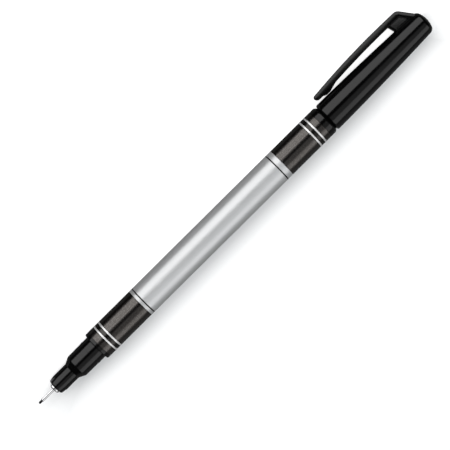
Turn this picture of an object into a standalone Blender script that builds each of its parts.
"""A fine-point permanent marker with its cap posted on the tail, built piece by piece.

Metres, +Z up. The pen lies on a table, on its barrel and on the edge of its pocket clip, with the nib
towards -X and the cap's crown towards +X. The origin is on the table, under the middle of the pen's box.

Each piece is drawn on the pen's own axis: z runs along the pen from the barrel's front face towards the
cap, x points from the axis at the clip, and y points at the side from which the clip is seen in profile.
Cap and clip stations are counted from the cap's rim.
"""
import math

import bmesh
import bpy
from mathutils import Matrix, Vector

MM = 0.001

# Roundness: sides of the turned pieces and of the thin ones in the nose, steps of a round, of the cap's side,
# of the crown's dome, of the clip's bow and of its edges, and the angle past which a corner stays sharp
SIDES = 36
THIN_SIDES = 18
ROUND_STEPS = 4
CAP_STEPS = 10
DOME_STEPS = 2
ARM_STEPS = 10
EDGE_STEPS = 4
SHARP_ANGLE = math.radians(30)
WELD = 0.000001

# Clearances
SEAM = 0.05 * MM
SLEEVE_FIT = 0.05 * MM
PLUG_FIT = 0.1 * MM
CAP_FIT = 0.1 * MM
SNAP_FIT = 0.05 * MM
SEAL_FIT = 0.12 * MM
INK_FIT = 0.15 * MM
CLIP_SEAT_GAP = 0.1 * MM
REST_GAP = 0.02 * MM

# Barrel: a moulded core that carries sleeves and rings, all flush outside
BARREL_DIA = 9.4 * MM
BARREL_EDGE = 0.3 * MM
SLEEVE_WALL = 0.55 * MM
CORE_WALL = 0.8 * MM
LIP_LENGTH = 1.1 * MM
FRONT_SLEEVE_LENGTH = 16.85 * MM
FRONT_TRIM_LENGTH = 0.98 * MM
BLACK_RING_LENGTH = 0.33 * MM
BARREL_SLEEVE_LENGTH = 54.23 * MM
REAR_TRIM_LENGTH = 1.78 * MM
REAR_SLEEVE_LENGTH = 15.79 * MM

# Bright rings let into the dark sleeves
RING_WIDTH = 0.6 * MM
RING_DEPTH = 0.25 * MM
RING_PITCH = 1.78 * MM
FRONT_RING_SETBACK = 2.55 * MM
REAR_RING_SETBACK = 2.27 * MM

# Nose, from the barrel's front face forwards
COLLAR_LENGTH = 8.0 * MM
COLLAR_DRAFT = 0.07 * MM
BEAD_SETBACK = 2.4 * MM
BEAD_WIDTH = 0.9 * MM
BEAD_HEIGHT = 0.1 * MM
CONE_LENGTH = 2.0 * MM
NOSE_DIA = 5.52 * MM
NOSE_LENGTH = 6.76 * MM
NOSE_RELIEF = 0.22 * MM
NOSE_RELIEF_LENGTH = 2.0 * MM
NOSE_EDGE = 0.45 * MM
NOSE_WALL = 0.8 * MM
NOSE_FRONT_WALL = 1.5 * MM
SHANK_LENGTH = 7.0 * MM

# Needle, nib and what holds them
NEEDLE_DIA = 1.09 * MM
NEEDLE_BORE = 0.82 * MM
NEEDLE_LENGTH = 4.64 * MM
NEEDLE_CRIMP = 0.08 * MM
NEEDLE_CRIMP_LENGTH = 0.3 * MM
NEEDLE_COLLAR_DIA = 3.65 * MM
NEEDLE_COLLAR_LENGTH = 0.8 * MM
NEEDLE_COLLAR_CHAMFER = 0.3 * MM
NEEDLE_SEAT_LENGTH = 3.3 * MM
NIB_DIA = 0.72 * MM
NIB_REACH = 1.2 * MM
FEED_DIA = 1.8 * MM
FEED_DEPTH = 6.0 * MM
BUSH_LENGTH = 5.5 * MM

# Ink
FILM_WALL = 0.15 * MM
INK_GAP = 0.3 * MM

# Tail
PLUG_LENGTH = 6.5 * MM
PLUG_CHAMFER = 0.4 * MM
PLUG_WALL = 1.0 * MM
PLUG_END_WALL = 1.5 * MM
TAIL_LAND_LENGTH = 1.46 * MM
TAIL_EDGE = 0.8 * MM
TAIL_CONE = math.radians(45)
TAIL_ROUND = 0.9 * MM
TAIL_END_CLEAR = 1.2 * MM

# Cap
CAP_GAP = 0.05 * MM
CAP_LENGTH = 40.71 * MM
CAP_EDGE = 0.55 * MM
CAP_WALL = 0.72 * MM
CAP_MOUTH_CHAMFER = 0.12 * MM
CAP_CROWN_DIA = 7.4 * MM
CAP_TAPER_POWER = 1.7
CROWN_EDGE = 1.55 * MM
CROWN_DOME_RADIUS = 7.0 * MM
CROWN_FLAT_DIA = 2.0 * MM
CROWN_WALL = 1.85 * MM
CROWN_SIDE_WALL = 0.85 * MM

# Liner that seals on the nose when the cap is on the front
LINER_SETBACK = 0.35 * MM
LINER_WALL = 0.45 * MM
LINER_RELIEF = 0.21 * MM
LINER_LIP_LENGTH = 1.0 * MM
LINER_FLOOR = 0.8 * MM
NIB_END_CLEAR = 1.6 * MM

# Pocket clip
CLIP_WIDTH = 4.3 * MM
CLIP_TIP_WIDTH = 3.6 * MM
CLIP_THICKNESS = 2.1 * MM
CLIP_CROWN_HEIGHT = 1.3 * MM
CLIP_CROWN_INSET = 0.5 * MM
CLIP_EDGE = 0.25 * MM
CLIP_TIP_CHAMFER = 0.42 * MM
CLIP_BULGE = 0.58 * MM
CLIP_TIP_SETBACK = 1.22 * MM
CLIP_TIP_ROUND = 1.25 * MM
CLIP_TIP_RISE = 2.36 * MM
CLIP_ELBOW_SETBACK = 4.85 * MM
CLIP_ELBOW_RISE = 4.18 * MM
CLIP_ELBOW_ROUND = 0.9 * MM
CLIP_FOOT_SETBACK = 1.6 * MM
CLIP_LEG_THICKNESS = 1.85 * MM
CLIP_SINK = 0.4 * MM
PAD_STATION = 5.47 * MM
PAD_LENGTH = 1.4 * MM
PAD_FRONT_RAMP = 1.0 * MM
PAD_REAR_RAMP = 2.9 * MM
PAD_FRONT_RISE = 0.5 * MM
WEB_WIDTH = 3.9 * MM
WEB_TOP_WIDTH = 3.2 * MM
WEB_SETBACK = 9.05 * MM
WEB_SLANT = 0.9 * MM
TENON_WIDTH = 2.4 * MM
TENON_LENGTH = 4.4 * MM
TENON_SETBACK = 3.6 * MM
TENON_DEPTH = 0.5 * MM

# Finishes: colour, metallic, roughness
FINISHES = {
    "black_plastic": ((0.010, 0.010, 0.011), 0.0, 0.22),
    "gunmetal": ((0.060, 0.054, 0.050), 0.6, 0.38),
    "bright_ring": ((0.86, 0.86, 0.87), 1.0, 0.16),
    "satin_silver": ((0.60, 0.61, 0.62), 0.9, 0.34),
    "steel": ((0.72, 0.72, 0.73), 1.0, 0.18),
    "nib_fibre": ((0.008, 0.008, 0.010), 0.0, 0.7),
    "bush_plastic": ((0.70, 0.70, 0.68), 0.0, 0.5),
    "ink_fibre": ((0.015, 0.015, 0.025), 0.0, 0.9),
    "film": ((0.75, 0.76, 0.78), 0.0, 0.3),
    "liner_plastic": ((0.03, 0.03, 0.032), 0.0, 0.45),
}

# Radii and stations that follow from the sizes above
BARREL_R = BARREL_DIA / 2
SLEEVE_BORE_R = BARREL_R - SLEEVE_WALL
CORE_R = SLEEVE_BORE_R - SLEEVE_FIT
CORE_BORE_R = CORE_R - CORE_WALL
GROOVE_R = BARREL_R - RING_DEPTH - SLEEVE_FIT
CAP_RIM_R = BARREL_R
CAP_BORE_R = CAP_RIM_R - CAP_WALL
CAP_CROWN_R = CAP_CROWN_DIA / 2
COLLAR_R = CAP_BORE_R - SNAP_FIT - BEAD_HEIGHT
TAIL_R = CAP_BORE_R - CAP_FIT
SHANK_R = CORE_BORE_R - PLUG_FIT
NOSE_R = NOSE_DIA / 2
NEEDLE_R = NEEDLE_DIA / 2
NEEDLE_HOLE_R = NEEDLE_R + PLUG_FIT
BUSH_BORE_R = NOSE_R - NOSE_WALL
BUSH_R = BUSH_BORE_R - PLUG_FIT
FEED_R = FEED_DIA / 2
FEED_HOLE_R = FEED_R + PLUG_FIT
NIB_R = NIB_DIA / 2
FILM_R = CORE_BORE_R - INK_FIT
INK_R = FILM_R - FILM_WALL - SLEEVE_FIT

COLLAR_FRONT = -COLLAR_LENGTH
CONE_FRONT = COLLAR_FRONT - CONE_LENGTH
NOSE_FRONT = CONE_FRONT - NOSE_LENGTH
BUSH_FRONT = NOSE_FRONT + NOSE_FRONT_WALL
BUSH_BACK = BUSH_FRONT + BUSH_LENGTH
NEEDLE_COLLAR_BACK = NOSE_FRONT - SEAM
NEEDLE_COLLAR_FRONT = NEEDLE_COLLAR_BACK - NEEDLE_COLLAR_LENGTH
NEEDLE_FRONT = NEEDLE_COLLAR_FRONT - NEEDLE_LENGTH
NEEDLE_BACK = BUSH_FRONT + NEEDLE_SEAT_LENGTH
NIB_TIP = NEEDLE_FRONT - NIB_REACH
INK_FRONT = SHANK_LENGTH + INK_GAP
FEED_END = INK_FRONT + FEED_DEPTH

BANDS = (
    ("front_sleeve", FRONT_SLEEVE_LENGTH),
    ("front_trim_ring", FRONT_TRIM_LENGTH),
    ("front_black_ring", BLACK_RING_LENGTH),
    ("barrel_sleeve", BARREL_SLEEVE_LENGTH),
    ("rear_black_ring", BLACK_RING_LENGTH),
    ("rear_trim_ring", REAR_TRIM_LENGTH),
    ("rear_sleeve", REAR_SLEEVE_LENGTH),
)
BARREL_REAR = LIP_LENGTH + sum(length for _, length in BANDS)
PLUG_FRONT = BARREL_REAR - PLUG_LENGTH
INK_BACK = PLUG_FRONT - INK_GAP
TAIL_LAND_BACK = BARREL_REAR + SEAM + TAIL_LAND_LENGTH
TAIL_CONE_DROP = BARREL_R - TAIL_EDGE * (1 - math.cos(TAIL_CONE)) - TAIL_R
TAIL_CONE_BACK = TAIL_LAND_BACK + TAIL_EDGE * math.sin(TAIL_CONE) + TAIL_CONE_DROP / math.tan(TAIL_CONE)
CAP_RIM = TAIL_CONE_BACK + CAP_GAP

LINER_MOUTH = COLLAR_LENGTH + CONE_LENGTH + LINER_SETBACK
LINER_END_INSIDE = NIB_END_CLEAR - NIB_TIP
LINER_END = LINER_END_INSIDE + LINER_FLOOR
LINER_BORE_R = NOSE_R + LINER_RELIEF
LINER_R = LINER_BORE_R + LINER_WALL
TAIL_END = CAP_RIM + LINER_MOUTH - TAIL_END_CLEAR
CROWN_FLAT_ANGLE = math.asin(CROWN_FLAT_DIA / 2 / CROWN_DOME_RADIUS)
CROWN_JOIN_ANGLE = math.asin((CAP_CROWN_R - CROWN_EDGE) / (CROWN_DOME_RADIUS - CROWN_EDGE))
CROWN_CENTRE = CAP_LENGTH - CROWN_DOME_RADIUS * math.cos(CROWN_FLAT_ANGLE)
CROWN_SHOULDER = CROWN_CENTRE + (CROWN_DOME_RADIUS - CROWN_EDGE) * math.cos(CROWN_JOIN_ANGLE)


def cap_radius(station):
    """Outer radius of the cap's side, which tapers slowly at the rim and faster towards the crown."""
    share = (max(station, 0.0) / CROWN_SHOULDER) ** CAP_TAPER_POWER
    return CAP_RIM_R - (CAP_RIM_R - CAP_CROWN_R) * share


def arc(centre, radius, start, end, steps):
    """Points (z, radius) on a circle in the profile plane, at angles in degrees from +z outwards."""
    points = []
    for i in range(steps + 1):
        angle = math.radians(start + (end - start) * i / steps)
        points.append((centre[0] + radius * math.cos(angle), centre[1] + radius * math.sin(angle)))
    return points


def clear_scene():
    """Removes what the new file holds, and makes the collections for the pieces and the cutters."""
    for thing in list(bpy.data.objects):
        bpy.data.objects.remove(thing)
    collections = []
    for name in ("permanent_marker", "cutters"):
        collection = bpy.data.collections.new(name)
        bpy.context.scene.collection.children.link(collection)
        collections.append(collection)
    return collections


PARTS, CUTTERS = clear_scene()


def material(name):
    """The named finish as a Principled material, made once."""
    made = bpy.data.materials.get(name)
    if made:
        return made
    colour, metallic, roughness = FINISHES[name]
    made = bpy.data.materials.new(name)
    made.use_nodes = True
    shader = made.node_tree.nodes["Principled BSDF"]
    shader.inputs["Base Color"].default_value = (*colour, 1.0)
    shader.inputs["Metallic"].default_value = metallic
    shader.inputs["Roughness"].default_value = roughness
    made.diffuse_color = (*colour, 1.0)
    return made


def axis_empty(name, parent=None, location=(0.0, 0.0, 0.0)):
    """An empty that marks an axis and carries the pieces that move on it."""
    empty = bpy.data.objects.new(name, None)
    empty.empty_display_size = BARREL_DIA
    PARTS.objects.link(empty)
    empty.parent = parent
    empty.location = location
    return empty


def piece(name, mesh, finish, parent):
    """A named piece with its finish, carried by an empty."""
    part = bpy.data.objects.new(name, mesh)
    PARTS.objects.link(part)
    part.parent = parent
    mesh.materials.append(material(finish))
    return part


def cutter(name, mesh, parent):
    """A guide solid for a cut or a union, which isn't a piece itself."""
    guide = bpy.data.objects.new(name, mesh)
    CUTTERS.objects.link(guide)
    guide.parent = parent
    guide.hide_render = True
    guide.display_type = "WIRE"
    return guide


def profile_mesh(name, outer, bore=()):
    """The half section of a turned piece. Both runs are (z, radius) points from front to back."""
    run = [*reversed(outer), *bore]
    edges = [(i, i + 1) for i in range(len(run) - 1)]
    if run[0][1] > WELD:
        edges.append((len(run) - 1, 0))
    mesh = bpy.data.meshes.new(name)
    mesh.from_pydata([(radius, 0.0, z) for z, radius in run], edges, [])
    return mesh


def turn(thing, sides=SIDES):
    """Turns a half section about the pen's axis, with one flat of the round facing straight down."""
    screw = thing.modifiers.new("turned", "SCREW")
    screw.axis = "Z"
    screw.steps = sides
    screw.render_steps = sides
    screw.use_merge_vertices = True
    screw.merge_threshold = WELD
    thing.rotation_euler.z = RESTING_ROLL - math.pi / 2 + math.pi / sides
    return thing


def turned(name, finish, parent, outer, bore=(), sides=SIDES):
    """A turned piece."""
    return turn(piece(name, profile_mesh(name, outer, bore), finish, parent), sides)


def tube(name, finish, parent, span, outer_r, bore_r):
    """A plain turned tube or ring."""
    outer = [(station, outer_r) for station in span]
    bore = [(station, bore_r) for station in span]
    return turned(name, finish, parent, outer, bore)


def outline_mesh(name, outline, width):
    """A flat outline of (z, x) points, as a plate of the given width across y."""
    curve = bpy.data.curves.new(name, "CURVE")
    curve.dimensions = "2D"
    curve.fill_mode = "BOTH"
    curve.extrude = width / 2
    spline = curve.splines.new("POLY")
    spline.points.add(len(outline) - 1)
    for point, (z, x) in zip(spline.points, outline):
        point.co = (z, x, 0.0, 1.0)
    spline.use_cyclic_u = True
    drawn = bpy.data.objects.new(name, curve)
    CUTTERS.objects.link(drawn)
    evaluated = drawn.evaluated_get(bpy.context.evaluated_depsgraph_get())
    mesh = bpy.data.meshes.new_from_object(evaluated)
    bpy.data.objects.remove(drawn)
    bpy.data.curves.remove(curve)
    plate = bmesh.new()
    plate.from_mesh(mesh)
    bmesh.ops.remove_doubles(plate, verts=plate.verts, dist=WELD)
    for side in (-1, 1):
        cheek = [face for face in plate.faces if face.normal.z * side > math.cos(SHARP_ANGLE)]
        bmesh.ops.dissolve_faces(plate, faces=cheek)
    to_pen = Matrix(((0, 1, 0), (0, 0, 1), (1, 0, 0))).to_4x4()
    bmesh.ops.transform(plate, matrix=to_pen, verts=plate.verts)
    bmesh.ops.recalc_face_normals(plate, faces=plate.faces)
    plate.to_mesh(mesh)
    plate.free()
    return mesh


def box_mesh(name, low, high):
    """A box between two corners."""
    size = Vector(high) - Vector(low)
    middle = (Vector(high) + Vector(low)) / 2
    box = bmesh.new()
    bmesh.ops.create_cube(box, size=1.0, matrix=Matrix.LocRotScale(middle, None, size))
    mesh = bpy.data.meshes.new(name)
    box.to_mesh(mesh)
    box.free()
    return mesh


def combine(part, tool, operation):
    """Cuts a piece by a guide solid, or joins the guide solid to it."""
    boolean = part.modifiers.new(tool.name, "BOOLEAN")
    boolean.operation = operation
    boolean.object = tool
    boolean.solver = "EXACT"


# Clip outline, in (station from the rim, distance from the axis)
CLIP_TIP = CLIP_TIP_SETBACK
ELBOW_STATION = CAP_LENGTH - CLIP_ELBOW_SETBACK
FOOT_STATION = CAP_LENGTH - CLIP_FOOT_SETBACK
CLIP_ELBOW = (ELBOW_STATION, cap_radius(ELBOW_STATION) + CLIP_ELBOW_RISE)
CLIP_FOOT = (FOOT_STATION, cap_radius(FOOT_STATION))
CLIP_TOP = (CLIP_TIP + CLIP_TIP_CHAMFER, cap_radius(CLIP_TIP) + CLIP_TIP_RISE)
CLIP_SPAN = Vector(CLIP_ELBOW) - Vector(CLIP_TOP)


def clip_back(station):
    """Distance from the axis to the back of the arm, which bows out between its tip and its elbow."""
    share = (station - CLIP_TOP[0]) / CLIP_SPAN.x
    return CLIP_TOP[1] + CLIP_SPAN.y * share + 4 * CLIP_BULGE * share * (1 - share)


CLIP_REACH_STATION = CLIP_TOP[0] + CLIP_SPAN.x * (0.5 + CLIP_SPAN.y / (8 * CLIP_BULGE))
CLIP_REACH = clip_back(CLIP_REACH_STATION)


def clip_half_width(station):
    """Half the arm's width, which widens evenly from the tip to the foot."""
    share = (station - CLIP_TIP) / (CLIP_FOOT[0] - CLIP_TIP)
    return (CLIP_TIP_WIDTH + (CLIP_WIDTH - CLIP_TIP_WIDTH) * share) / 2


def clip_depth(roll):
    """How far below the pen's axis the clip's rounded edge reaches, for a roll below the horizontal."""
    half = clip_half_width(CLIP_REACH_STATION)
    inset = CLIP_CROWN_INSET * half / (CLIP_WIDTH / 2)
    down, level = math.sin(roll), math.cos(roll)
    round_edge = math.hypot(CLIP_CROWN_HEIGHT * down, inset * level)
    return (CLIP_REACH - CLIP_CROWN_HEIGHT) * down + (half - inset) * level + round_edge


def resting_roll():
    """How far the clip points below the horizontal, when its edge and the barrel's flat lie on one table."""
    depth = BARREL_R * math.cos(math.pi / SIDES) - REST_GAP
    low, high = 0.0, math.pi / 4
    while high - low > WELD:
        middle = (low + high) / 2
        if clip_depth(middle) < depth:
            low = middle
        else:
            high = middle
    return low


RESTING_ROLL = resting_roll()


def along(start, end, distance):
    """The point at a distance from start towards end."""
    run = Vector(end) - Vector(start)
    return tuple(Vector(start) + run.normalized() * distance)


def rounded_corner(before, corner, after, size):
    """A corner eased by a curve that starts and ends at the given distance from it."""
    first, last = Vector(along(corner, before, size)), Vector(along(corner, after, size))
    points = []
    for i in range(ROUND_STEPS + 1):
        share = i / ROUND_STEPS
        pull = 2 * share * (1 - share)
        points.append(tuple(first * (1 - share) ** 2 + Vector(corner) * pull + last * share**2))
    return points


def strap_stations():
    """The clip's arm, elbow and slanted leg as one bent strap: pairs of points on its back and underside."""
    pad_front, pad_back = PAD_STATION - PAD_LENGTH / 2, PAD_STATION + PAD_LENGTH / 2
    pad_x = cap_radius(PAD_STATION) + CLIP_SEAT_GAP
    tip_x = pad_x + PAD_FRONT_RISE
    stations = []
    round_middle = (CLIP_TIP + CLIP_TIP_ROUND, tip_x + CLIP_TIP_ROUND)
    for under in arc(round_middle, CLIP_TIP_ROUND, 180, 270, ROUND_STEPS):
        share = (under[0] - CLIP_TIP) / CLIP_TIP_ROUND
        back_z = CLIP_TOP[0] + (CLIP_TIP_ROUND - CLIP_TIP_CHAMFER) * share
        stations.append(((back_z, clip_back(back_z)), under))
    for under in ((pad_front - PAD_FRONT_RAMP, tip_x), (pad_front, pad_x), (pad_back, pad_x)):
        stations.append(((under[0], clip_back(under[0])), under))
    arm_start, arm_end = pad_back + PAD_REAR_RAMP, ELBOW_STATION - CLIP_ELBOW_ROUND
    for i in range(ARM_STEPS + 1):
        z = arm_start + (arm_end - arm_start) * i / ARM_STEPS
        stations.append(((z, clip_back(z)), (z, clip_back(z) - CLIP_THICKNESS)))

    arm = (Vector(CLIP_ELBOW) - Vector(stations[-1][0])).normalized()
    leg = (Vector(CLIP_FOOT) - Vector(CLIP_ELBOW)).normalized()
    leg_inward = Vector((leg.y, -leg.x)) * CLIP_LEG_THICKNESS
    under_elbow = Vector(CLIP_ELBOW) - Vector((0.0, CLIP_THICKNESS))
    offset = under_elbow - Vector(CLIP_ELBOW) - leg_inward
    corner = under_elbow - arm * (offset.cross(leg) / arm.cross(leg))
    elbow = rounded_corner(stations[-1][0], CLIP_ELBOW, CLIP_FOOT, CLIP_ELBOW_ROUND)[1:]
    elbow.append(corner - leg_inward)
    stations += [(back, corner) for back in elbow]
    leg_end = Vector(CLIP_FOOT) + leg * CLIP_SINK
    stations.append((leg_end, leg_end + leg_inward))
    return stations


def strap_section(thickness):
    """Half of the strap's section, from its underside to its back: (depth, share of half the width).

    The edges along the back are broad soft rounds, taller than wide. Those of the underside are small.
    """
    crown = min(CLIP_CROWN_HEIGHT, thickness - 2 * CLIP_EDGE)
    half = CLIP_WIDTH / 2
    side = [(thickness, 1 - CLIP_EDGE / half), (thickness - CLIP_EDGE, 1.0)]
    for i in range(EDGE_STEPS + 1):
        angle = math.pi / 2 * i / EDGE_STEPS
        side.append((crown * (1 - math.sin(angle)), 1 - CLIP_CROWN_INSET / half * (1 - math.cos(angle))))
    return side


def strap_mesh():
    """The strap as a loft through its sections."""
    strap = bmesh.new()
    rings = []
    for back, under in strap_stations():
        inward = Vector(under) - Vector(back)
        side = []
        for depth, across in strap_section(inward.length):
            z, x = Vector(back) + inward.normalized() * depth
            side.append((x, across * clip_half_width(z), z))
        mirrored = [(x, -y, z) for x, y, z in reversed(side)]
        rings.append([strap.verts.new(point) for point in side + mirrored])
    for ring, following in zip(rings, rings[1:]):
        for i in range(len(ring)):
            strap.faces.new((ring[i - 1], ring[i], following[i], following[i - 1]))
    strap.faces.new(rings[0])
    strap.faces.new(rings[-1])
    bmesh.ops.remove_doubles(strap, verts=strap.verts, dist=WELD)
    bmesh.ops.recalc_face_normals(strap, faces=strap.faces)
    mesh = bpy.data.meshes.new("pocket_clip")
    strap.to_mesh(mesh)
    strap.free()
    return mesh


def web_mesh():
    """The narrower plate that fills the corner between arm, leg and cap, and thins towards the arm."""
    front = CAP_LENGTH - WEB_SETBACK
    top = CLIP_ELBOW[1] - CLIP_THICKNESS / 2
    bottom = cap_radius(front) - CLIP_SINK
    leg_middle = CLIP_LEG_THICKNESS / 2
    back_top = (CLIP_ELBOW[0] - leg_middle, top)
    back_bottom = (CLIP_FOOT[0] - leg_middle, cap_radius(CLIP_FOOT[0]) - CLIP_SINK)
    outline = [(front - WEB_SLANT, top), back_top, back_bottom, (front, bottom)]
    mesh = outline_mesh("clip_web", outline, WEB_WIDTH)
    for vertex in mesh.vertices:
        share = (vertex.co.x - bottom) / (top - bottom)
        vertex.co.y *= 1 + (WEB_TOP_WIDTH / WEB_WIDTH - 1) * share
    return mesh


def build_nose(pen):
    """Nose, needle, nib and the bush that holds them."""
    bead = -BEAD_SETBACK
    front_r = NOSE_R - NOSE_RELIEF
    outer = arc((NOSE_FRONT + NOSE_EDGE, front_r - NOSE_EDGE), NOSE_EDGE, 180, 90, ROUND_STEPS)
    outer += [
        (NOSE_FRONT + NOSE_RELIEF_LENGTH, NOSE_R),
        (CONE_FRONT, NOSE_R),
        (COLLAR_FRONT, COLLAR_R - COLLAR_DRAFT),
        (bead - BEAD_WIDTH / 2, COLLAR_R),
        (bead, COLLAR_R + BEAD_HEIGHT),
        (bead + BEAD_WIDTH / 2, COLLAR_R),
        (-SEAM, COLLAR_R),
        (-SEAM, SHANK_R),
        (SHANK_LENGTH, SHANK_R),
    ]
    shank_bore_r = SHANK_R - NOSE_WALL
    bore = [
        (NOSE_FRONT, NEEDLE_HOLE_R),
        (BUSH_FRONT, NEEDLE_HOLE_R),
        (BUSH_FRONT, BUSH_BORE_R),
        (BUSH_BACK + SEAM, BUSH_BORE_R),
        (BUSH_BACK + SEAM + CONE_LENGTH, shank_bore_r),
        (SHANK_LENGTH, shank_bore_r),
    ]
    turned("nose_section", "black_plastic", pen, outer, bore)

    collar_r = NEEDLE_COLLAR_DIA / 2
    outer = [
        (NEEDLE_FRONT, NEEDLE_R - NEEDLE_CRIMP),
        (NEEDLE_FRONT + NEEDLE_CRIMP_LENGTH, NEEDLE_R),
        (NEEDLE_COLLAR_FRONT, NEEDLE_R),
        (NEEDLE_COLLAR_FRONT, collar_r - NEEDLE_COLLAR_CHAMFER),
        (NEEDLE_COLLAR_FRONT + NEEDLE_COLLAR_CHAMFER, collar_r),
        (NEEDLE_COLLAR_BACK, collar_r),
        (NEEDLE_COLLAR_BACK, NEEDLE_R),
        (NEEDLE_BACK, NEEDLE_R),
    ]
    bore = [(NEEDLE_FRONT, NEEDLE_BORE / 2), (NEEDLE_BACK, NEEDLE_BORE / 2)]
    turned("needle_tube", "steel", pen, outer, bore, THIN_SIDES)

    feed_front = NEEDLE_BACK + PLUG_FIT
    outer = arc((NIB_TIP + NIB_R, 0.0), NIB_R, 180, 90, ROUND_STEPS)
    outer += [(feed_front, NIB_R), (feed_front, FEED_R), (FEED_END, FEED_R), (FEED_END, 0.0)]
    turned("nib", "nib_fibre", pen, outer, sides=THIN_SIDES)

    outer = [(BUSH_FRONT + SEAM, BUSH_R), (BUSH_BACK, BUSH_R)]
    bore = [
        (BUSH_FRONT + SEAM, NEEDLE_HOLE_R),
        (NEEDLE_BACK, NEEDLE_HOLE_R),
        (NEEDLE_BACK, FEED_HOLE_R),
        (BUSH_BACK, FEED_HOLE_R),
    ]
    turned("nib_bush", "bush_plastic", pen, outer, bore)


def inlaid_sleeve(name, pen, span, ring_middles):
    """A dark sleeve with a groove for each bright ring, and the rings in their grooves."""
    front, back = span
    outer = [(front, BARREL_R)]
    for middle in ring_middles:
        groove_front = middle - RING_WIDTH / 2 - SEAM
        groove_back = middle + RING_WIDTH / 2 + SEAM
        outer += [(groove_front, BARREL_R), (groove_front, GROOVE_R)]
        outer += [(groove_back, GROOVE_R), (groove_back, BARREL_R)]
    outer.append((back, BARREL_R))
    turned(name, "gunmetal", pen, outer, [(front, SLEEVE_BORE_R), (back, SLEEVE_BORE_R)])
    for number, middle in enumerate(ring_middles, 1):
        ring_span = (middle - RING_WIDTH / 2, middle + RING_WIDTH / 2)
        ring_name = f"{name.split('_')[0]}_ring_{number}"
        tube(ring_name, "bright_ring", pen, ring_span, BARREL_R, BARREL_R - RING_DEPTH)


def build_barrel(pen):
    """The core with its lip, and the sleeves and rings that follow each other along it."""
    outer = arc((BARREL_EDGE, BARREL_R - BARREL_EDGE), BARREL_EDGE, 180, 90, ROUND_STEPS)
    outer += [(LIP_LENGTH, BARREL_R), (LIP_LENGTH, CORE_R), (BARREL_REAR, CORE_R)]
    turned("barrel_core", "black_plastic", pen, outer, [(0.0, CORE_BORE_R), (BARREL_REAR, CORE_BORE_R)])

    finishes = {
        "front_trim_ring": "satin_silver",
        "front_black_ring": "black_plastic",
        "barrel_sleeve": "satin_silver",
        "rear_black_ring": "black_plastic",
        "rear_trim_ring": "satin_silver",
    }
    station = LIP_LENGTH
    for name, length in BANDS:
        span = (station + SEAM, station + length)
        if name == "front_sleeve":
            first = station + FRONT_RING_SETBACK
            inlaid_sleeve(name, pen, span, (first, first + RING_PITCH))
        elif name == "rear_sleeve":
            last = station + length - REAR_RING_SETBACK
            inlaid_sleeve(name, pen, span, (last - RING_PITCH, last))
        else:
            tube(name, finishes[name], pen, span, BARREL_R, SLEEVE_BORE_R)
        station += length


def build_ink(pen):
    """The fibre rod with the hole for the nib's feed rod, and the film round it."""
    outer = [(INK_FRONT, INK_R), (INK_BACK, INK_R), (INK_BACK, 0.0)]
    hole_end = FEED_END + INK_GAP
    bore = [(INK_FRONT, FEED_HOLE_R), (hole_end, FEED_HOLE_R), (hole_end, 0.0)]
    turned("ink_reservoir", "ink_fibre", pen, outer, bore)
    tube("reservoir_film", "film", pen, (INK_FRONT, INK_BACK), FILM_R, FILM_R - FILM_WALL)


def build_tail(pen):
    """The plug that closes the barrel, with a cone down to the spigot that the cap is pushed on."""
    flange_front = BARREL_REAR + SEAM
    outer = [
        (PLUG_FRONT, SHANK_R - PLUG_CHAMFER),
        (PLUG_FRONT + PLUG_CHAMFER, SHANK_R),
        (flange_front, SHANK_R),
        (flange_front, BARREL_R),
    ]
    cone_start = 90 - math.degrees(TAIL_CONE)
    outer += arc((TAIL_LAND_BACK, BARREL_R - TAIL_EDGE), TAIL_EDGE, 90, cone_start, ROUND_STEPS)
    outer.append((TAIL_CONE_BACK, TAIL_R))
    outer += arc((TAIL_END - TAIL_ROUND, TAIL_R - TAIL_ROUND), TAIL_ROUND, 90, 0, ROUND_STEPS)
    outer.append((TAIL_END, 0.0))
    hollow_r = SHANK_R - PLUG_WALL
    hollow_end = TAIL_END - PLUG_END_WALL
    bore = [(PLUG_FRONT, hollow_r), (hollow_end, hollow_r), (hollow_end, 0.0)]
    turned("tail_plug", "black_plastic", pen, outer, bore)


def cap_side(clearance, front):
    """The cap's tapered side from a station to its shoulder, grown by a clearance."""
    steps = [front + (CROWN_SHOULDER - front) * i / CAP_STEPS for i in range(CAP_STEPS + 1)]
    return [(station, cap_radius(station) + clearance) for station in steps]


def crown_edge(clearance):
    """The round between the cap's side and the dome of its crown, grown by a clearance."""
    centre = (CROWN_SHOULDER, CAP_CROWN_R - CROWN_EDGE)
    return arc(centre, CROWN_EDGE + clearance, 90, math.degrees(CROWN_JOIN_ANGLE), ROUND_STEPS)


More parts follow.
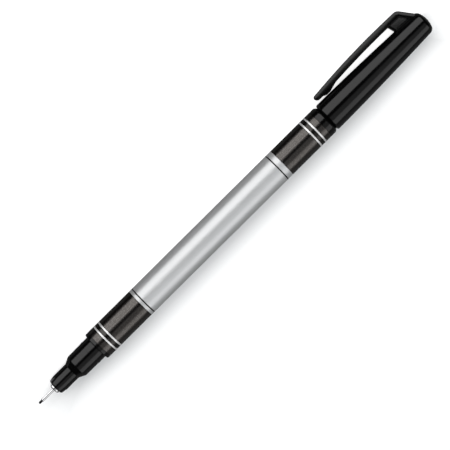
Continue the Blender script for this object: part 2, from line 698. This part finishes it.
def build_cap(cap):
    """The cap with its crown, and the liner that seals on the nose."""
    outer = arc((CAP_EDGE, CAP_RIM_R - CAP_EDGE), CAP_EDGE, 180, 90, ROUND_STEPS)[:-1]
    outer += cap_side(0.0, CAP_EDGE)[:-1] + crown_edge(0.0)
    join, flat = math.degrees(CROWN_JOIN_ANGLE), math.degrees(CROWN_FLAT_ANGLE)
    outer += arc((CROWN_CENTRE, 0.0), CROWN_DOME_RADIUS, join, flat, DOME_STEPS)[1:]
    outer.append((CAP_LENGTH, 0.0))
    seat_r = LINER_R + SLEEVE_FIT
    hollow_r = CAP_CROWN_R - CROWN_SIDE_WALL
    hollow_end = CAP_LENGTH - CROWN_WALL
    bore = [
        (0.0, CAP_BORE_R + CAP_MOUTH_CHAMFER),
        (CAP_MOUTH_CHAMFER, CAP_BORE_R),
        (LINER_MOUTH, CAP_BORE_R),
        (LINER_MOUTH, seat_r),
        (LINER_END + SEAM, seat_r),
        (LINER_END + SEAM, hollow_r),
        (hollow_end, hollow_r),
        (hollow_end, 0.0),
    ]
    shell = turned("cap_shell", "black_plastic", cap, outer, bore)

    lip_end = LINER_MOUTH + LINER_LIP_LENGTH
    outer = [(LINER_MOUTH, LINER_R), (LINER_END, LINER_R), (LINER_END, 0.0)]
    bore = [
        (LINER_MOUTH, NOSE_R + SEAL_FIT),
        (lip_end, NOSE_R + SEAL_FIT),
        (lip_end + LINER_RELIEF, LINER_BORE_R),
        (LINER_END_INSIDE, LINER_BORE_R),
        (LINER_END_INSIDE, 0.0),
    ]
    turned("inner_cap", "liner_plastic", cap, outer, bore)
    return shell


def build_clip(cap, pivot, shell):
    """The clip: strap and web, cut to the cap's round, with a tenon that sits in the cap's slot."""
    clip = piece("pocket_clip", strap_mesh(), "black_plastic", pivot)
    clip.location = -pivot.location
    combine(clip, cutter("clip_web", web_mesh(), cap), "UNION")

    seat_front = CAP_LENGTH - WEB_SETBACK - CLIP_THICKNESS
    seat_profile = [(seat_front, 0.0), *cap_side(CLIP_SEAT_GAP, seat_front)[:-1], *crown_edge(CLIP_SEAT_GAP)]
    seat_profile.append((seat_profile[-1][0], 0.0))
    seat = turn(cutter("clip_seat", profile_mesh("clip_seat", seat_profile), cap))
    combine(clip, seat, "DIFFERENCE")

    back = CAP_LENGTH - TENON_SETBACK
    front = back - TENON_LENGTH
    floor = cap_radius((front + back) / 2) - TENON_DEPTH
    top = floor + TENON_DEPTH + CLIP_THICKNESS / 2
    half = TENON_WIDTH / 2
    tenon = cutter("clip_tenon", box_mesh("clip_tenon", (floor, -half, front), (top, half, back)), cap)
    combine(clip, tenon, "UNION")
    gap = CLIP_SEAT_GAP
    low, high = (floor - gap, -half - gap, front - gap), (top, half + gap, back + gap)
    combine(shell, cutter("tenon_slot", box_mesh("tenon_slot", low, high), cap), "DIFFERENCE")


def apply_modifiers():
    """Makes each piece a plain mesh, shaded smooth with its corners kept sharp."""
    graph = bpy.context.evaluated_depsgraph_get()
    meshes = {}
    for part in PARTS.objects:
        if part.type == "MESH":
            meshes[part] = bpy.data.meshes.new_from_object(part.evaluated_get(graph))
    for part, mesh in meshes.items():
        part.modifiers.clear()
        part.data = mesh
        mesh.shade_smooth()
        mesh.set_sharp_from_angle(angle=SHARP_ANGLE)


def settle(pen):
    """Moves the pen so that its box stands on the origin."""
    bpy.context.view_layer.update()
    corners = []
    for part in PARTS.objects:
        if part.type == "MESH":
            corners += [part.matrix_world @ vertex.co for vertex in part.data.vertices]
    low = Vector(min(corner[axis] for corner in corners) for axis in range(3))
    high = Vector(max(corner[axis] for corner in corners) for axis in range(3))
    pen.location -= Vector(((low.x + high.x) / 2, (low.y + high.y) / 2, low.z))
    bpy.context.view_layer.update()


def main():
    pen = axis_empty("pen_axis")
    cos, sin = math.cos(RESTING_ROLL), math.sin(RESTING_ROLL)
    pen.rotation_euler = Matrix(((0, 0, 1), (cos, sin, 0), (-sin, cos, 0))).to_euler()
    cap = axis_empty("cap_axis", pen, (0.0, 0.0, CAP_RIM))
    pivot = axis_empty("clip_pivot", cap, (CLIP_FOOT[1], 0.0, CLIP_FOOT[0]))
    build_nose(pen)
    build_barrel(pen)
    build_ink(pen)
    build_tail(pen)
    shell = build_cap(cap)
    build_clip(cap, pivot, shell)
    apply_modifiers()
    settle(pen)


main()
